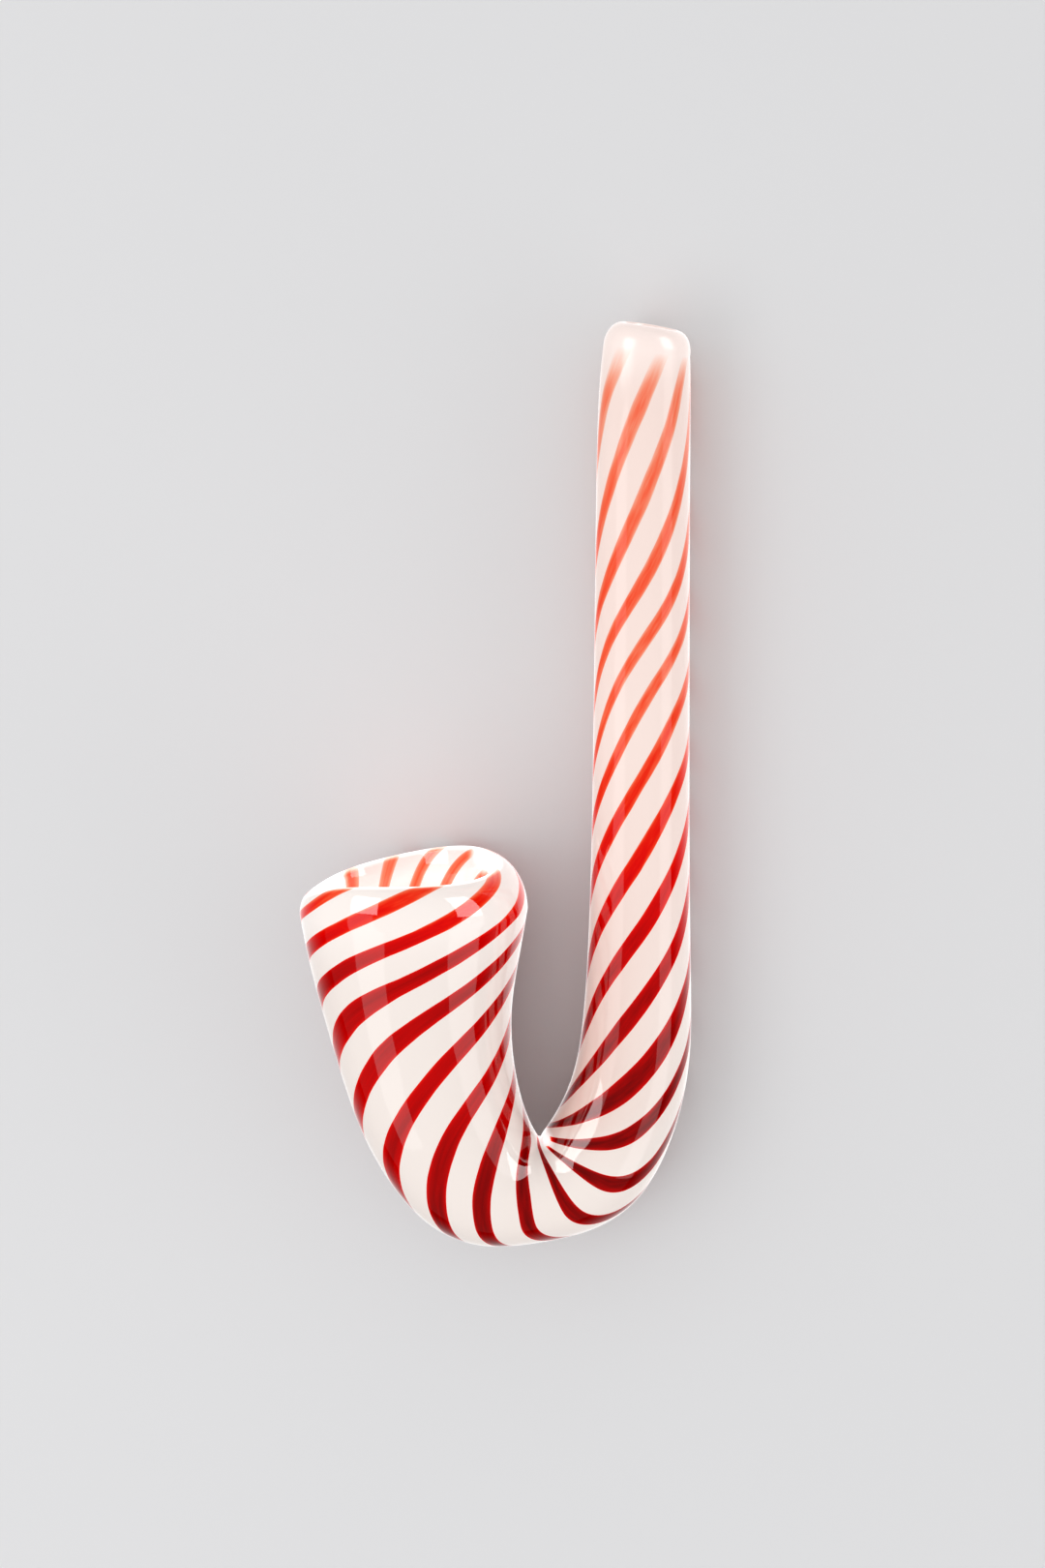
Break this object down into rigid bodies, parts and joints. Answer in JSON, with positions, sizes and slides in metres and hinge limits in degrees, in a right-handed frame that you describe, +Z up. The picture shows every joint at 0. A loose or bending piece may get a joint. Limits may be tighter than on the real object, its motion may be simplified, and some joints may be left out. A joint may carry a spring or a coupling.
{
  "type": "hand-blown glass pipe",
  "caption": "Striped glass pipe hooked like a candy cane: a flared open bowl, a sharply kinked bend and a long straight hollow stem with a rounded mouthpiece.",
  "frame": {"origin": "middle of the footprint, on the surface that the pipe lies on", "axes": "+Y up the stem towards the mouthpiece, +X from the bowl across to the stem, +Z up from the surface, with the shown side up"},
  "size_m": [0.053, 0.1282, 0.0311],
  "materials": {
    "striped_glass": "glossy opal glass with twisted red stripes"
  },
  "bodies": {
    "root": {"pipe": "striped_glass"}
  },
  "joints": []
}
